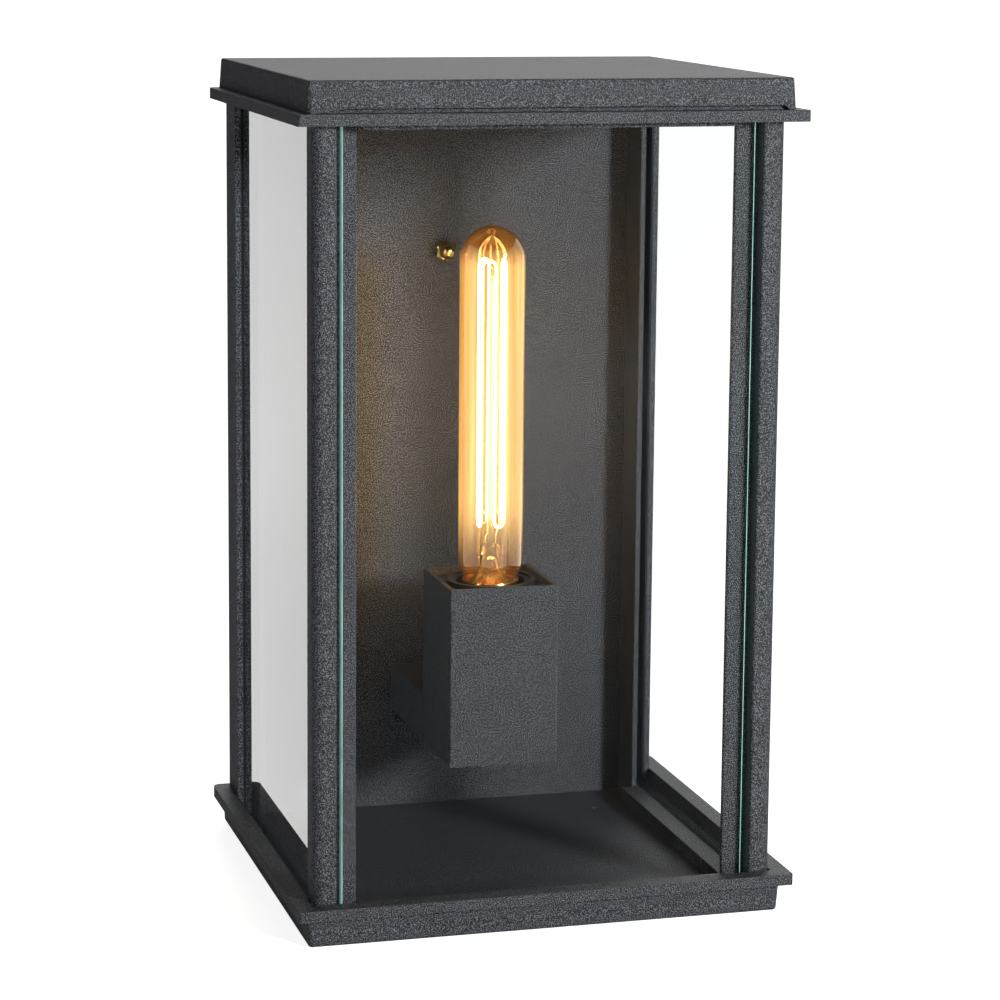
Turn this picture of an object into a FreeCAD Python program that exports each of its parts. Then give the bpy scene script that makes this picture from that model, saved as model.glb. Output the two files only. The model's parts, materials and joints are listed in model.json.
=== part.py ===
import FreeCAD, Part
import os
import re

import Sketcher

from FreeCAD import Rotation, Vector

# Wall lantern.  +Z is up, -Y is the front and the wall is the plane y = 0.
# The origin is the middle of the wall bracket, on the wall.

doc = FreeCAD.newDocument("wall_lantern")
sheet = doc.addObject("Spreadsheet::Sheet", "Sizes")

SIZES = {
    # case
    "flange_width": 221.0,
    "flange_depth": 201.0,
    "flange_edge": 4.9,
    "flange_span": 334.0,
    "plinth_inset": 4.6,
    "plinth_back_inset": 0.6,
    "recess_back": 2.2,
    "plinth_drop": 17.7,
    "plinth_draft": 3.5,
    "recess_inset": 7.8,
    "recess_depth": 13.0,
    "floor_sheet": 2.2,
    "cap_inset": 4.8,
    "cap_rise": 13.5,
    "cap_sheet": 1.3,
    "cap_draft": 3.4,
    "cap_gap": 1.8,
    "cap_back_inset": 0.6,
    "head_radius": 2.9,
    "upstand_inset": 7.3,
    "upstand_rise": 11.7,
    "roof_hollow_rise": 10.0,
    "roof_hollow_half": 91.5,
    # posts
    "post_face": 102.6,
    "bead_inner": 92.4,
    "bead_depth": 6.2,
    "bead_round": 4.6,
    "slot_outer": 99.9,
    "slot_inner": 94.5,
    "leg_depth": 12.0,
    "leaf_tip": 82.3,
    "leaf_thick": 2.5,
    "leaf_setback": 7.7,
    "back_flange_tip": 91.0,
    "back_flange_thick": 2.5,
    "back_flange_start": 170.0,
    "back_leg_start": 178.0,
    "back_web_end": 190.0,
    "back_leg_end": 198.6,
    # panes
    "glass_thick": 4.0,
    "glass_face": 99.2,
    "front_glass_half": 89.8,
    "front_glass_setback": 11.4,
    "glass_foot": 7.6,
    "glass_head": 2.0,
    # back plate and wall fixing
    "plate_sheet": 2.0,
    "plate_half": 99.6,
    "stud_spacing": 180.0,
    "stud_radius": 2.0,
    "wall_hole_spacing": 120.0,
    "wall_hole_radius": 2.75,
    "cable_hole_radius": 10.0,
    "bracket_width": 30.0,
    "bracket_length": 204.0,
    "bracket_sheet": 2.0,
    # lampholder box and arm
    "box_side": 50.0,
    "box_rise": 81.5,
    "box_front": 78.2,
    "box_top": 117.0,
    "tube_wall": 2.0,
    "arm_rise": 22.0,
    "holder_setback": 103.2,
    "holder_radius": 18.7,
    # lamp
    "lamp_radius": 14.7,
    "lamp_length": 185.0,
    "lamp_top": 277.2,
    "lamp_cap_radius": 13.2,
}

for row, (alias, value) in enumerate(SIZES.items(), start=1):
    sheet.set(f"A{row}", alias)
    sheet.set(f"B{row}", str(value))
    sheet.setAlias(f"B{row}", alias)
doc.recompute()

# Places measured from the driving sizes, written once and used in the expressions below.
FRONT = "(0 - flange_depth)"
BASE = "(0 - flange_span / 2)"
ROOF = "(flange_span / 2)"
FLOOR = f"({BASE} - recess_depth)"
PLATE_FRONT = f"({FRONT} + back_web_end)"
PLATE_BACK = f"({PLATE_FRONT} + plate_sheet)"
POST_NOSE = f"({FRONT} + recess_inset + 0.2)"
LEAF_FRONT = f"({POST_NOSE} + leaf_setback)"
GLASS_BOTTOM = f"({BASE} - glass_foot)"
GLASS_TOP = f"({ROOF} - glass_head)"
BOX_FRONT = f"({FRONT} + box_front)"
BOX_TOP = f"({BASE} + box_top)"
BOX_BOTTOM = f"({BOX_TOP} - box_rise)"
HOLDER_Y = f"({FRONT} + holder_setback)"
LAMP_TOP = f"({BASE} + lamp_top)"
LAMP_TIP = f"({LAMP_TOP} - lamp_length)"

PROBE = doc.addObject("App::FeaturePython", "Probe")
PROBE.addProperty("App::PropertyFloat", "Value")

TURN_TO = {
    "+X": Rotation(Vector(0, 1, 0), 90),
    "+Y": Rotation(Vector(1, 0, 0), -90),
    "-Y": Rotation(Vector(1, 0, 0), 90),
    "+Z": Rotation(),
    "-Z": Rotation(Vector(1, 0, 0), 180),
}

nodes = []


# ---------------------------------------------------------------- helpers

def cells(text):
    """Turn size names and numbers into an expression that reads the sheet."""
    return re.sub(r"[A-Za-z_]\w*", lambda found: "Sizes." + found.group(0), str(text))


def measure(text):
    """Work out the same line as a number, for code that needs one."""
    PROBE.setExpression("Value", cells(text))
    PROBE.recompute()
    return PROBE.Value


def bind(thing, **sizes):
    for name, text in sizes.items():
        thing.setExpression(name, cells(text))


def place(thing, x, y, z, towards="+Z"):
    thing.Placement = FreeCAD.Placement(Vector(), TURN_TO[towards])
    for axis, text in zip("xyz", (x, y, z)):
        thing.setExpression(f"Placement.Base.{axis}", cells(text))


def block(name, x, y, z):
    """A box between pairs of limits along X, Y and Z."""
    made = doc.addObject("Part::Box", name)
    bind(made, Length=f"({x[1]}) - ({x[0]})", Width=f"({y[1]}) - ({y[0]})",
         Height=f"({z[1]}) - ({z[0]})")
    place(made, x[0], y[0], z[0])
    return made


def rod(name, radius, length, x, y, z, towards="+Z"):
    made = doc.addObject("Part::Cylinder", name)
    bind(made, Radius=radius, Height=length)
    place(made, x, y, z, towards)
    return made


def cone(name, radius, end_radius, length, x, y, z, towards="+Z"):
    made = doc.addObject("Part::Cone", name)
    bind(made, Radius1=radius, Radius2=end_radius, Height=length)
    place(made, x, y, z, towards)
    return made


def nut_prism(name, across, length, x, y, z, towards="+Z"):
    """A hexagonal prism, given its width across flats."""
    made = doc.addObject("Part::Prism", name)
    made.Polygon = 6
    bind(made, Circumradius=f"({across}) / 1.7320508", Height=length)
    place(made, x, y, z, towards)
    return made


def ball(name, radius, x, y, z):
    made = doc.addObject("Part::Sphere", name)
    bind(made, Radius=radius)
    place(made, x, y, z)
    return made


def fuse(name, *pieces):
    made = doc.addObject("Part::MultiFuse", name)
    made.Shapes = list(pieces)
    return made


def group(name, *pieces):
    """Separate solids of the same kind that share one node."""
    made = doc.addObject("Part::Compound", name)
    made.Links = list(pieces)
    return made


def cut(name, base, *tools):
    made = doc.addObject("Part::Cut", name)
    made.Base = base
    made.Tool = tools[0] if len(tools) == 1 else group(name + "_tools", *tools)
    return made


def common(name, base, tool):
    made = doc.addObject("Part::Common", name)
    made.Base = base
    made.Tool = tool
    return made


def keep(thing, label):
    """Name a finished sub-part: its Label is the node's name."""
    thing.Label = label
    nodes.append(thing)
    return thing


def body(name):
    return doc.addObject("PartDesign::Body", name)


def plane(owner, role):
    return next(item for item in owner.Origin.OriginFeatures if item.Role == role)


def outline(owner, name, role, points, level):
    """A closed polygon on an origin plane, each corner bound to the sheet."""
    sketch = owner.newObject("Sketcher::SketchObject", name)
    sketch.AttachmentSupport = (plane(owner, role), [""])
    sketch.MapMode = "FlatFace"
    sketch.setExpression("AttachmentOffset.Base.z", cells(level))
    corners = [Vector(measure(x), measure(y), 0) for x, y in points]
    count = len(points)
    for i in range(count):
        sketch.addGeometry(Part.LineSegment(corners[i], corners[(i + 1) % count]), False)
    for i in range(count):
        sketch.addConstraint(Sketcher.Constraint("Coincident", i, 2, (i + 1) % count, 1))
    for i, (x, y) in enumerate(points):
        for kind, text, value in (("DistanceX", x, corners[i].x), ("DistanceY", y, corners[i].y)):
            index = sketch.addConstraint(Sketcher.Constraint(kind, -1, 1, i, 1, value))
            tag = f"{kind}{i}"
            sketch.renameConstraint(index, tag)
            sketch.setExpression(f"Constraints.{tag}", cells(text))
    return sketch


def rectangle(x, y):
    return [(x[0], y[0]), (x[1], y[0]), (x[1], y[1]), (x[0], y[1])]


def pad(owner, name, sketch, length, reverse=False, taper="0"):
    made = owner.newObject("PartDesign::Pad", name)
    made.Profile = sketch
    made.Reversed = reverse
    bind(made, Length=length, TaperAngle=taper)
    doc.recompute()
    return made


def pocket(owner, name, sketch, length, reverse=False):
    before = owner.Shape.Volume
    made = owner.newObject("PartDesign::Pocket", name)
    made.Profile = sketch
    made.Reversed = reverse
    bind(made, Length=length)
    doc.recompute()
    assert owner.Shape.Volume < before - 1, name + " cuts nothing"
    return made


def round_edges(owner, name, base, radius, wanted):
    """Fillet the edges of a feature that the test picks out."""
    picked = [f"Edge{i}" for i, edge in enumerate(base.Shape.Edges, start=1) if wanted(edge)]
    assert picked, name + " finds no edge"
    made = owner.newObject("PartDesign::Fillet", name)
    made.Base = (base, picked)
    bind(made, Radius=radius)
    doc.recompute()
    return made


def upright(edge):
    if not isinstance(edge.Curve, Part.Line):
        return False
    return abs(edge.tangentAt(edge.FirstParameter).z) > 0.9


def near(value, target):
    return abs(value - target) < 0.05


def prism(name, points, z):
    """A polygon in plan, padded between two heights."""
    owner = body(name)
    sketch = outline(owner, name + "_outline", "XY_Plane", points, z[0])
    pad(owner, name + "_pad", sketch, f"({z[1]}) - ({z[0]})")
    return owner


def rail(name, points, y):
    """A polygon across the lantern (X, Z), padded between two depths."""
    owner = body(name)
    sketch = outline(owner, name + "_outline", "XZ_Plane", points, f"0 - ({y[1]})")
    pad(owner, name + "_pad", sketch, f"({y[1]}) - ({y[0]})")
    return owner


def mirrored_x(side, x):
    """The pair of limits x, on the right (side 1) or on the left (side -1)."""
    low, high = x
    return (low, high) if side > 0 else (f"0 - ({high})", f"0 - ({low})")


def lead(name, points, radius):
    """A wire through hand-placed points, straight runs joined by tangent arcs."""
    edges = []
    start = points[0]
    for before, corner, after in zip(points, points[1:], points[2:]):
        inward = (before - corner).normalize()
        outward = (after - corner).normalize()
        half_turn = (3.14159265 - inward.getAngle(outward)) / 2
        shorter = min((before - corner).Length, (after - corner).Length)
        reach = 0.45 * shorter
        bend = Vector(inward + outward).normalize()
        bend_radius = reach * abs(inward.cross(bend).Length) / abs(inward.dot(bend))
        centre = corner + bend * ((reach ** 2 + bend_radius ** 2) ** 0.5)
        middle = centre - bend * bend_radius
        edges.append(Part.LineSegment(start, corner + inward * reach).toShape())
        edges.append(Part.Arc(corner + inward * reach, middle, corner + outward * reach).toShape())
        print(f"{name}: turn {half_turn * 114.6:.0f} deg, radius {bend_radius:.1f} mm")
        start = corner + outward * reach
    edges.append(Part.LineSegment(start, points[-1]).toShape())
    path = Part.Wire(edges)
    first = points[1] - points[0]
    section = Part.Wire([Part.Circle(points[0], first, radius).toShape()])
    solid = path.makePipeShell([section], True, False)
    expected = 3.14159265 * radius ** 2 * path.Length
    assert abs(solid.Volume - expected) < 0.03 * expected, name + " has the wrong volume"
    made = doc.addObject("Part::Feature", name)
    made.Shape = solid
    made.Placement = FreeCAD.Placement()
    return made


# ---------------------------------------------------------------- case

HALF = "(flange_width / 2)"
PLINTH_HALF = f"({HALF} - plinth_inset)"
RECESS = (f"recess_inset - {HALF}", f"{HALF} - recess_inset")
RECESS_Y = (f"{FRONT} + recess_inset", "0 - recess_back")
FRONT_PORT = ("97.5", f"{POST_NOSE} + 3.1")
BACK_PORT = ("99.1", "0 - 5.6")
POST_SCREWS = [(f"{side} * {x}", y) for x, y in (FRONT_PORT, BACK_PORT) for side in (-1, 1)]
POST_HOLE = 1.7


def post_holes(name, radius, length, z, towards="+Z"):
    return [rod(f"{name}_{i}", radius, length, x, y, z, towards)
            for i, (x, y) in enumerate(POST_SCREWS)]


def base_tray():
    owner = body("TrayBody")
    flange = outline(owner, "TrayFlange", "XY_Plane",
                     rectangle((f"0 - {HALF}", HALF), (FRONT, "0")), f"{BASE} - flange_edge")
    made = pad(owner, "TrayFlangePad", flange, "flange_edge")
    corner_x = measure(HALF)
    round_edges(owner, "TrayFrontCorners", made, "1.2",
                lambda e: upright(e) and near(e.CenterOfMass.y, measure(FRONT)))
    round_edges(owner, "TrayBackCorners", owner.Tip, "4",
                lambda e: upright(e) and near(e.CenterOfMass.y, 0)
                and near(abs(e.CenterOfMass.x), corner_x))
    plinth = outline(owner, "TrayPlinth", "XY_Plane",
                     rectangle((f"0 - {PLINTH_HALF}", PLINTH_HALF),
                               (f"{FRONT} + plinth_inset", "0 - plinth_back_inset")),
                     f"{BASE} - flange_edge")
    made = pad(owner, "TrayPlinthPad", plinth, "plinth_drop - flange_edge", True,
               "0 - plinth_draft")
    bottom = measure(f"{BASE} - plinth_drop")
    flange_bottom = measure(f"{BASE} - flange_edge")
    round_edges(owner, "TrayPlinthCorners", made, "2",
                lambda e: near(e.BoundBox.ZMin, bottom) and near(e.BoundBox.ZMax, flange_bottom))
    round_edges(owner, "TrayFoot", owner.Tip, "1.4",
                lambda e: near(e.BoundBox.ZMin, bottom) and near(e.BoundBox.ZMax, bottom))
    recess = outline(owner, "TrayRecess", "XY_Plane", rectangle(RECESS, RECESS_Y), BASE)
    pocket(owner, "TrayRecessPocket", recess, "recess_depth")
    under = outline(owner, "TrayUnder", "XY_Plane",
                    rectangle((f"8 - {PLINTH_HALF}", f"{PLINTH_HALF} - 8"),
                              (f"{FRONT} + plinth_inset + 8", "0 - plinth_back_inset - 8")),
                    f"{BASE} - plinth_drop")
    pocket(owner, "TrayUnderPocket", under,
           "plinth_drop - recess_depth - floor_sheet", True)
    drains = [rod(f"TrayDrain{i}", "2", "9", f"{side} * 70", f"{FRONT} + {depth}",
                  f"{FLOOR} - 6") for i, (side, depth) in
              enumerate(((-1, 40), (1, 40), (-1, 160), (1, 160)))]
    screws = post_holes("TrayScrewHole", POST_HOLE + 0.15, "9", f"{FLOOR} - 6")
    seats = post_holes("TrayScrewSeat", "head_radius + 0.2", "6", f"{FLOOR} - floor_sheet - 6")
    return keep(cut("BaseTray", owner, *drains, *screws, *seats), "base_tray")


def roof_tray():
    owner = body("RoofBody")
    flange = outline(owner, "RoofFlange", "XY_Plane",
                     rectangle((f"0 - {HALF}", HALF), (FRONT, "0")), f"{ROOF} - flange_edge")
    made = pad(owner, "RoofFlangePad", flange, "flange_edge")
    round_edges(owner, "RoofFrontCorners", made, "1.2",
                lambda e: upright(e) and near(e.CenterOfMass.y, measure(FRONT)))
    round_edges(owner, "RoofBackCorners", owner.Tip, "4",
                lambda e: upright(e) and near(e.CenterOfMass.y, 0))
    upstand = outline(owner, "RoofUpstand", "XY_Plane",
                      rectangle((f"upstand_inset - {HALF}", f"{HALF} - upstand_inset"),
                                (f"{FRONT} + upstand_inset", "0 - recess_back - 0.2")), ROOF)
    pad(owner, "RoofUpstandPad", upstand, "upstand_rise")
    mouth = outline(owner, "RoofMouth", "XY_Plane", rectangle(RECESS, RECESS_Y),
                    f"{ROOF} - flange_edge")
    pocket(owner, "RoofMouthPocket", mouth, "flange_edge", True)
    hollow = outline(owner, "RoofHollow", "XY_Plane",
                     rectangle(("0 - roof_hollow_half", "roof_hollow_half"),
                               (f"{FRONT} + recess_inset + 1.7", f"{FRONT} + 187")), ROOF)
    pocket(owner, "RoofHollowPocket", hollow, "roof_hollow_rise", True)
    drill = post_holes("RoofScrewHole", POST_HOLE + 0.15, "upstand_rise + 2", f"{ROOF} - 1")
    sinks = [cone(f"RoofSink{i}", "1.9", "head_radius + 0.2", "1.7", x, y, f"{ROOF} + upstand_rise - 1.68")
             for i, (x, y) in enumerate(POST_SCREWS)]
    studs = [rod(f"RoofStudHole{i}", "1.8", "6", x, y, f"{ROOF} + upstand_rise - 4")
             for i, (x, y) in enumerate(CAP_STUDS)]
    return keep(cut("RoofTray", owner, *drill, *sinks, *studs), "roof_tray")


CAP_STUDS = [(f"{sx} * 60", f"{FRONT} + {depth}") for sx in (-1, 1) for depth in (50, 150)]


def roof_cap():
    owner = body("CapBody")
    foot = outline(owner, "CapFoot", "XY_Plane",
                   rectangle((f"cap_inset - {HALF}", f"{HALF} - cap_inset"),
                             (f"{FRONT} + cap_inset", "0 - cap_back_inset")), ROOF)
    made = pad(owner, "CapPad", foot, "cap_rise", False, "0 - cap_draft")
    roof, top = measure(ROOF), measure(f"{ROOF} + cap_rise")
    round_edges(owner, "CapCorners", made, "1.6",
                lambda e: near(e.BoundBox.ZMin, roof) and near(e.BoundBox.ZMax, top))
    round_edges(owner, "CapBrow", owner.Tip, "1",
                lambda e: near(e.BoundBox.ZMin, top) and near(e.BoundBox.ZMax, top))
    inside = outline(owner, "CapInside", "XY_Plane",
                     rectangle((f"cap_inset + 2.2 - {HALF}", f"{HALF} - cap_inset - 2.2"),
                               (f"{FRONT} + cap_inset + 2.2", "0 - recess_back")),
                     ROOF)
    pocket(owner, "CapInsidePocket", inside, "cap_rise - cap_sheet - 0.2", True)
    lip = outline(owner, "CapLip", "XZ_Plane",
                  [(f"22 - {HALF}", f"{ROOF} + cap_gap"), (f"{HALF} - 10", f"{ROOF} + cap_gap"),
                   (f"{HALF} - 8", ROOF), (f"9 - {HALF}", ROOF)], f"0 - {FRONT} - 8")
    pocket(owner, "CapLipPocket", lip, "8", True)
    studs = [rod(f"CapStud{i}", "1.5", "7", x, y, f"{ROOF} + cap_rise - cap_sheet - 7.1")
             for i, (x, y) in enumerate(CAP_STUDS)]
    return keep(fuse("RoofCap", owner, *studs), "roof_cap")


def roof_nuts():
    made = []
    for i, (x, y) in enumerate(CAP_STUDS):
        nut = nut_prism(f"RoofNutHex{i}", "5.5", "2.4", x, y, f"{ROOF} + roof_hollow_rise - 2.4")
        hole = rod(f"RoofNutHole{i}", "1.55", "4", x, y, f"{ROOF} + roof_hollow_rise - 3")
        made.append(cut(f"RoofNut{i}", nut, hole))
    return keep(group("RoofNuts", *made), "roof_cap_nuts")


def post_screws():
    """Pan heads under the tray, countersunk heads in the roof."""
    lower, upper = [], []
    for i, (x, y) in enumerate(POST_SCREWS):
        head = rod(f"BaseHead{i}", "head_radius", "1.9", x, y, f"{FLOOR} - floor_sheet - 1.9")
        shank = rod(f"BaseShank{i}", POST_HOLE - 0.05, "floor_sheet + 14", x, y,
                    f"{FLOOR} - floor_sheet")
        lower.append(fuse(f"BaseScrew{i}", head, shank))
        sink = cone(f"RoofHead{i}", "1.65", "head_radius", "1.6", x, y,
                    f"{ROOF} + upstand_rise - 1.65")
        stem = rod(f"RoofShank{i}", POST_HOLE - 0.05, "upstand_rise + 12", x, y, f"{ROOF} - 14")
        upper.append(fuse(f"RoofScrew{i}", sink, stem))
    keep(group("BaseScrews", *lower), "base_post_screws")
    keep(group("RoofScrews", *upper), "roof_post_screws")


# ---------------------------------------------------------------- posts

def mirrored_points(side, points):
    return [(f"{side} * ({x})", y) for x, y in points]


def front_post(side, label):
    """Rounded bead outside, rebate for the front pane, slot for the side pane."""
    slot_floor = f"{POST_NOSE} + bead_depth"
    leg_end = f"{POST_NOSE} + leg_depth"
    leaf_back = f"{LEAF_FRONT} + leaf_thick"
    points = [("bead_inner", POST_NOSE), ("post_face", POST_NOSE), ("post_face", leg_end),
              ("slot_outer", leg_end), ("slot_outer", slot_floor), ("slot_inner", slot_floor),
              ("slot_inner", leaf_back), ("leaf_tip", leaf_back), ("leaf_tip", LEAF_FRONT),
              ("bead_inner", LEAF_FRONT)]
    owner = prism(label.title().replace("_", ""), mirrored_points(side, points), (FLOOR, ROOF))
    nose, face = measure(POST_NOSE), measure("post_face")
    tip, inner = measure("leaf_tip"), measure("bead_inner")
    round_edges(owner, label + "_bead", owner.Tip, "bead_round",
                lambda e: upright(e) and near(e.CenterOfMass.y, nose)
                and near(abs(e.CenterOfMass.x), face))
    round_edges(owner, label + "_inner", owner.Tip, "1.2",
                lambda e: upright(e) and near(e.CenterOfMass.y, nose)
                and near(abs(e.CenterOfMass.x), inner))
    round_edges(owner, label + "_tip", owner.Tip, "1",
                lambda e: upright(e) and near(abs(e.CenterOfMass.x), tip))
    x, y = f"{side} * {FRONT_PORT[0]}", FRONT_PORT[1]
    holes = [rod(label + "_low_hole", POST_HOLE, "16", x, y, f"{FLOOR} - 1"),
             rod(label + "_top_hole", POST_HOLE, "16", x, y, f"{ROOF} - 15")]
    return keep(cut(label + "_cut", owner, *holes), label)


def back_post(side, label):
    """Channel for the side pane's back edge, with a screw port behind."""
    start, leg_start = f"{FRONT} + back_flange_start", f"{FRONT} + back_leg_start"
    web_end, leg_end = PLATE_FRONT, f"{FRONT} + back_leg_end"
    web_start = f"({web_end} - 2.5)"
    inner = "back_flange_tip + back_flange_thick"
    points = [("back_flange_tip", start), (inner, start), (inner, web_start),
              ("slot_outer", web_start), ("slot_outer", leg_start), ("post_face", leg_start),
              ("post_face", leg_end), ("95.6", leg_end), ("95.6", f"{PLATE_BACK} + 0.2"),
              ("slot_outer", f"{PLATE_BACK} + 0.2"), ("slot_outer", web_end),
              ("back_flange_tip", web_end)]
    owner = prism(label.title().replace("_", ""), mirrored_points(side, points), (FLOOR, ROOF))
    tip = measure("back_flange_tip")
    round_edges(owner, label + "_tip", owner.Tip, "0.8",
                lambda e: upright(e) and near(abs(e.CenterOfMass.x), tip)
                and near(e.CenterOfMass.y, measure(start)))
    x, y = f"{side} * {BACK_PORT[0]}", BACK_PORT[1]
    holes = [rod(label + "_low_hole", POST_HOLE, "16", x, y, f"{FLOOR} - 1"),
             rod(label + "_top_hole", POST_HOLE, "16", x, y, f"{ROOF} - 15")]
    holes += [rod(f"{label}_web_hole{i}", "1.5", "4", f"{side} * 92.6", f"{web_end} - 3.2", z,
                  "+Y") for i, z in enumerate(PLATE_SCREW_HEIGHTS)]
    return keep(cut(label + "_cut", owner, *holes), label)


PLATE_SCREW_HEIGHTS = ("0 - 120", "0", "120")


# ---------------------------------------------------------------- back plate

ARM_TOP = f"({BOX_BOTTOM} + arm_rise)"
LEAD_HEIGHT = f"({BOX_BOTTOM} + 11)"
ARM_SCREW_X = "21.5"
ARM_SCREW_Z = f"({BOX_BOTTOM} - 4.6)"
STUD_HEIGHTS = ("stud_spacing / 2", "0 - stud_spacing / 2")


def back_plate():
    sheet_metal = block("PlateSheet", ("0 - plate_half", "plate_half"), (PLATE_FRONT, PLATE_BACK),
                        (FLOOR, f"{ROOF} - 0.1"))
    behind = f"{PLATE_FRONT} - 1"
    tools = [rod(f"PlateStudHole{i}", "2.2", "4", "0", behind, z, "+Y")
             for i, z in enumerate(STUD_HEIGHTS)]
    tools.append(rod("PlateCableHole", "5", "4", "0", behind, LEAD_HEIGHT, "+Y"))
    tools += [rod(f"PlateArmHole{side}", "1.55", "4", f"{side} * {ARM_SCREW_X}", behind,
                  ARM_SCREW_Z, "+Y") for side in (-1, 1)]
    tools += [rod(f"PlateEdgeHole{side}{i}", "1.5", "4", f"{side} * 92.6", behind, z, "+Y")
              for side in (-1, 1) for i, z in enumerate(PLATE_SCREW_HEIGHTS)]
    tools.append(rod("PlateEarthHole", "1.5", "4", "12", behind, EARTH_Z, "+Y"))
    return keep(cut("BackPlate", sheet_metal, *tools), "back_plate")


def screw(name, head_radius, head, shank_radius, length, x, y, z, towards):
    """A pan-head screw whose head's underside is at the given point."""
    back = {"+Y": "-Y", "-Y": "+Y", "+Z": "-Z", "-Z": "+Z"}[towards]
    top = rod(name + "_head", head_radius, head, x, y, z, back)
    shank = rod(name + "_shank", shank_radius, length, x, y, z, towards)
    return fuse(name, top, shank)


def plate_screws():
    made = [screw(f"PlateScrew{side}{i}", "2.8", "1.8", "1.45", "4.2", f"{side} * 92.6",
                  PLATE_BACK, z, "-Y")
            for side in (-1, 1) for i, z in enumerate(PLATE_SCREW_HEIGHTS)]
    return keep(group("PlateScrews", *made), "back_plate_screws")


# ---------------------------------------------------------------- glass

def side_glass(side, label):
    x = mirrored_x(side, ("glass_face - glass_thick", "glass_face"))
    y = (f"{POST_NOSE} + bead_depth + 0.9", f"{PLATE_FRONT} - 3.4")
    return keep(block(label, x, y, (GLASS_BOTTOM, GLASS_TOP)), label)


def glass_seals(side, label):
    """One U-shaped strip on each upright edge of a side pane."""
    inner, outer = "glass_face - glass_thick", "glass_face"
    front, back = f"{POST_NOSE} + bead_depth", f"{PLATE_FRONT} - 2.5"
    front_lip, back_lip = f"{POST_NOSE} + leg_depth - 0.6", f"{FRONT} + back_leg_start + 0.6"
    front_floor, back_floor = f"{front} + 0.9", f"{back} - 0.9"
    x0, x1 = "slot_inner + 0.1", "slot_outer"
    forward = [(x0, front), (x1, front), (x1, front_lip), (outer, front_lip),
               (outer, front_floor), (inner, front_floor), (inner, front_lip), (x0, front_lip)]
    rearward = [(x0, back), (x1, back), (x1, back_lip), (outer, back_lip),
                (outer, back_floor), (inner, back_floor), (inner, back_lip), (x0, back_lip)]
    span = (GLASS_BOTTOM, GLASS_TOP)
    strips = [prism(label + "_front", mirrored_points(side, forward), span),
              prism(label + "_back", mirrored_points(side, rearward), span)]
    return keep(group(label + "_pair", *strips), label)


def front_glass():
    y0 = f"{FRONT} + front_glass_setback"
    return keep(block("FrontGlass", ("0 - front_glass_half", "front_glass_half"),
                      (y0, f"{y0} + glass_thick"), (GLASS_BOTTOM, GLASS_TOP)), "front_glass")


RAIL_Y = (f"{POST_NOSE} + leg_depth + 0.1", f"{FRONT} + back_flange_start - 0.1")


def lower_rail(side, label):
    inner = "glass_face - glass_thick - 0.2"
    points = [("86", FLOOR), ("post_face - 0.1", FLOOR), ("post_face - 0.1", GLASS_BOTTOM),
              (inner, GLASS_BOTTOM), (inner, f"{BASE} - 6.4"), ("86", f"{BASE} - 6.4")]
    return keep(rail(label + "_body", mirrored_points(side, points), RAIL_Y), label)


def upper_rail(side, label):
    x = mirrored_x(side, ("86", "glass_face - glass_thick - 0.2"))
    return keep(block(label, x, RAIL_Y, (f"{ROOF} - 6.4", ROOF)), label)


def front_sill():
    """A groove that takes the front pane's foot, level with the tray's ledge."""
    half = ("0.3 - leaf_tip", "leaf_tip - 0.3")
    y0 = f"({FRONT} + recess_inset + 0.1)"
    lip_back = f"({FRONT} + front_glass_setback - 0.4)"
    stop = f"({FRONT} + front_glass_setback + glass_thick + 0.4)"
    owner = body("SillBody")
    points = [(y0, FLOOR), (f"{stop} + 2.6", FLOOR), (f"{stop} + 2.6", f"{BASE} - 6.4"),
              (stop, f"{BASE} - 6.4"), (stop, f"{GLASS_BOTTOM} - 0.4"),
              (lip_back, f"{GLASS_BOTTOM} - 0.4"), (lip_back, f"{BASE} - 0.6"),
              (y0, f"{BASE} - 0.6")]
    sketch = outline(owner, "SillOutline", "YZ_Plane", points, half[0])
    pad(owner, "SillPad", sketch, f"({half[1]}) - ({half[0]})")
    return keep(owner, "front_sill")


def front_head():
    half = ("0.3 - leaf_tip", "leaf_tip - 0.3")
    y = (f"{FRONT} + recess_inset + 0.1", f"{FRONT} + front_glass_setback - 0.4")
    return keep(block("FrontHead", half, y, (f"{ROOF} - 7", ROOF)), "front_head")


# ---------------------------------------------------------------- lampholder box and arm

BOX_HALF = "(box_side / 2)"
HOLDER_PLATE_TOP = f"({BOX_TOP} - 3)"
HOLDER_TOP = f"({BOX_TOP} - 1.4)"
SLEEVE_TOP = f"({HOLDER_TOP} - 6)"
BORE_FLOOR = f"({LAMP_TIP} - 5)"
SHELL_BOTTOM = f"({BORE_FLOOR} - 16)"


def lampholder_box():
    y = (BOX_FRONT, f"{BOX_FRONT} + box_side")
    owner = body("BoxBody")
    outer = outline(owner, "BoxOuter", "XY_Plane", rectangle((f"0 - {BOX_HALF}", BOX_HALF), y),
                    BOX_BOTTOM)
    made = pad(owner, "BoxPad", outer, "box_rise")
    round_edges(owner, "BoxEdges", made, "0.7", upright)
    inner = outline(owner, "BoxInner", "XY_Plane",
                    rectangle((f"tube_wall - {BOX_HALF}", f"{BOX_HALF} - tube_wall"),
                              (f"{y[0]} + tube_wall", f"{y[1]} - tube_wall")), BOX_TOP)
    pocket(owner, "BoxInnerPocket", inner, "box_rise - tube_wall")
    window = block("BoxWindow", ("0 - 18", "18"), (f"{y[1]} - tube_wall - 1", f"{y[1]} + 1"),
                   (f"{BOX_BOTTOM} + 3.5", f"{ARM_TOP} - 3.5"))
    return keep(cut("LampholderBox", owner, window), "lampholder_box")


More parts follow.
